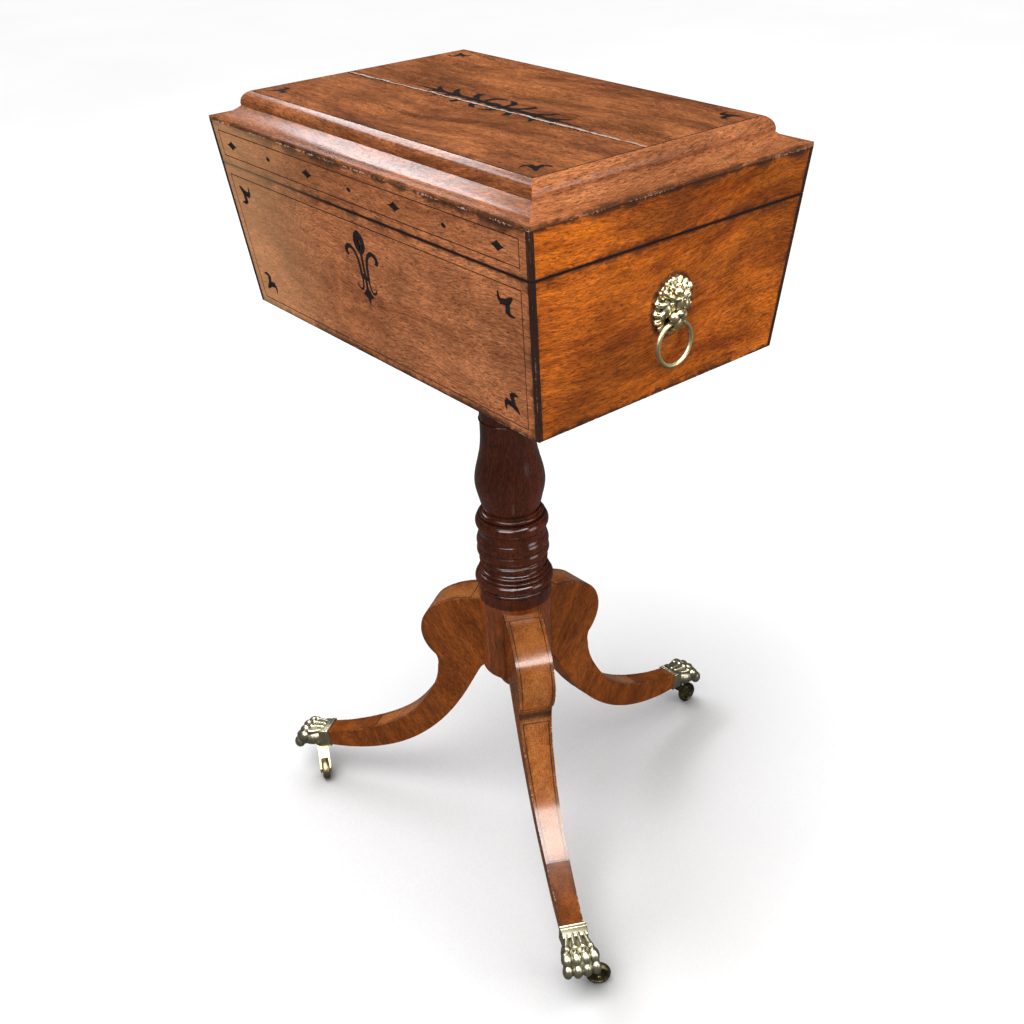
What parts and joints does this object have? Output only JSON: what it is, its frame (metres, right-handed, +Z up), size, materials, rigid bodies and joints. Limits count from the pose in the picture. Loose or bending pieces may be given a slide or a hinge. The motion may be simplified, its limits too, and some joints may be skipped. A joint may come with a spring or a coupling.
{
  "type": "teapoy",
  "caption": "Sarcophagus-shaped tea chest with inlaid front and cove-moulded hinged lid, on a turned pillar with scrolled tripod legs, lion-paw feet and castors.",
  "frame": {"origin": "on the floor at the middle of the footprint", "axes": "+X along the chest, the lock on the -Y side, +Z up"},
  "size_m": [0.4887, 0.4355, 0.7694],
  "materials": {
    "chest_mahogany": "french polished",
    "cornice_mahogany": "french polished",
    "panel_mahogany": "french polished",
    "hidden_wood": "matte",
    "fittings_mahogany": "satin",
    "ebony": "polished",
    "pillar_mahogany": "satin",
    "leg_mahogany": "french polished",
    "aged_brass": "aged",
    "castor_brass": "worn",
    "mask_brass": "polished with dark recesses",
    "hardware_brass": "satin",
    "steel": "satin",
    "clear_glass": "polished"
  },
  "bodies": {
    "stand": {"bearer": "hidden_wood", "bearer_screws": "steel", "bowl_platform": "fittings_mahogany", "carcass_back": "chest_mahogany", "carcass_bottom": "hidden_wood", "carcass_corner_strips": "ebony", "carcass_front": "chest_mahogany", "carcass_hinge_leaves": "hardware_brass", "carcass_hinge_screws": "steel", "carcass_left": "chest_mahogany", "carcass_right": "chest_mahogany", "escutcheon": "ebony", "front_corner_darts": "ebony", "front_stringing": "ebony", "hinge_pins": "hardware_brass", "leg_back": "leg_mahogany", "leg_front_left": "leg_mahogany", "leg_front_right": "leg_mahogany", "lion_mask_left": "mask_brass", "lion_mask_right": "mask_brass", "lock_case": "hardware_brass", "partitions": "fittings_mahogany", "paw_back": "aged_brass", "paw_front_left": "aged_brass", "paw_front_right": "aged_brass", "pillar": "pillar_mahogany"},
    "lid": {"lid_front_rail": "chest_mahogany", "lid_back_rail": "chest_mahogany", "lid_left_rail": "chest_mahogany", "lid_right_rail": "chest_mahogany", "lid_corner_strips": "ebony", "frieze_stringing": "ebony", "frieze_diamonds": "ebony", "cornice_long_sides": "cornice_mahogany", "cornice_short_sides": "cornice_mahogany", "lid_panel": "panel_mahogany", "top_stringing": "ebony", "top_inlays": "ebony", "lid_hinge_leaves": "hardware_brass", "lid_hinge_screws": "steel", "link_plate": "hardware_brass"},
    "bolt": {"lock_bolt": "steel"},
    "left_ring": {"ring_left": "mask_brass"},
    "right_ring": {"ring_right": "mask_brass"},
    "bowl": {"mixing_bowl": "clear_glass"},
    "left_canister": {"canister_left": "fittings_mahogany"},
    "left_canister_lid": {"canister_left_lid": "fittings_mahogany", "canister_left_knob": "ebony"},
    "right_canister": {"canister_right": "fittings_mahogany"},
    "right_canister_lid": {"canister_right_lid": "fittings_mahogany", "canister_right_knob": "ebony"},
    "castor_back": {"castor_fork_back": "castor_brass", "castor_axle_back": "castor_brass"},
    "wheel_back": {"castor_wheel_back": "castor_brass"},
    "castor_front_left": {"castor_fork_front_left": "castor_brass", "castor_axle_front_left": "castor_brass"},
    "wheel_front_left": {"castor_wheel_front_left": "castor_brass"},
    "castor_front_right": {"castor_fork_front_right": "castor_brass", "castor_axle_front_right": "castor_brass"},
    "wheel_front_right": {"castor_wheel_front_right": "castor_brass"}
  },
  "joints": [
    {"name": "lid_hinge", "type": "hinge", "parent": "stand", "child": "lid", "pos_m": [-0.00408, 0.08251, 0.7092], "axis": [-1, 0, 0], "range_deg": [0, 100]},
    {"name": "bolt_throw", "type": "slide", "parent": "stand", "child": "bolt", "axis": [1, 0, 0], "range_m": [0, 0.006]},
    {"name": "left_ring_lift", "type": "hinge", "parent": "stand", "child": "left_ring", "pos_m": [-0.21502, -0.06131, 0.64082], "axis": [0, 1, 0], "range_deg": [0, 90]},
    {"name": "right_ring_lift", "type": "hinge", "parent": "stand", "child": "right_ring", "pos_m": [0.20686, -0.06131, 0.64082], "axis": [0, -1, 0], "range_deg": [0, 90]},
    {"name": "left_canister_lift", "type": "slide", "parent": "stand", "child": "left_canister", "axis": [0, 0, 1], "range_m": [0, 0.02]},
    {"name": "left_canister_lid_lift", "type": "slide", "parent": "left_canister", "child": "left_canister_lid", "axis": [0, 0, 1], "range_m": [0, 0.02]},
    {"name": "right_canister_lift", "type": "slide", "parent": "stand", "child": "right_canister", "axis": [0, 0, 1], "range_m": [0, 0.02]},
    {"name": "right_canister_lid_lift", "type": "slide", "parent": "right_canister", "child": "right_canister_lid", "axis": [0, 0, 1], "range_m": [0, 0.02]},
    {"name": "bowl_lift", "type": "slide", "parent": "stand", "child": "bowl", "axis": [0, 0, 1], "range_m": [0, 0.02]},
    {"name": "back_castor_swivel", "type": "hinge", "parent": "stand", "child": "castor_back", "pos_m": [-0.01138, 0.18458, 0.038], "axis": [0, 0, 1], "continuous": true},
    {"name": "back_wheel_spin", "type": "hinge", "parent": "castor_back", "child": "wheel_back", "pos_m": [-0.01208, 0.20457, 0.012], "axis": [-0.9994, -0.0349, 0], "continuous": true},
    {"name": "front_left_castor_swivel", "type": "hinge", "parent": "stand", "child": "castor_front_left", "pos_m": [-0.21338, -0.19057, 0.038], "axis": [0, 0, 1], "continuous": true},
    {"name": "front_left_wheel_spin", "type": "hinge", "parent": "castor_front_left", "child": "wheel_front_left", "pos_m": [-0.19572, -0.19996, 0.012], "axis": [0.4695, 0.8829, 0], "continuous": true},
    {"name": "front_right_castor_swivel", "type": "hinge", "parent": "stand", "child": "castor_front_right", "pos_m": [0.21252, -0.17793, 0.038], "axis": [0, 0, 1], "continuous": true},
    {"name": "front_right_wheel_spin", "type": "hinge", "parent": "castor_front_right", "child": "wheel_front_right", "pos_m": [0.22483, -0.16217, 0.012], "axis": [-0.788, 0.6157, 0], "continuous": true}
  ]
}
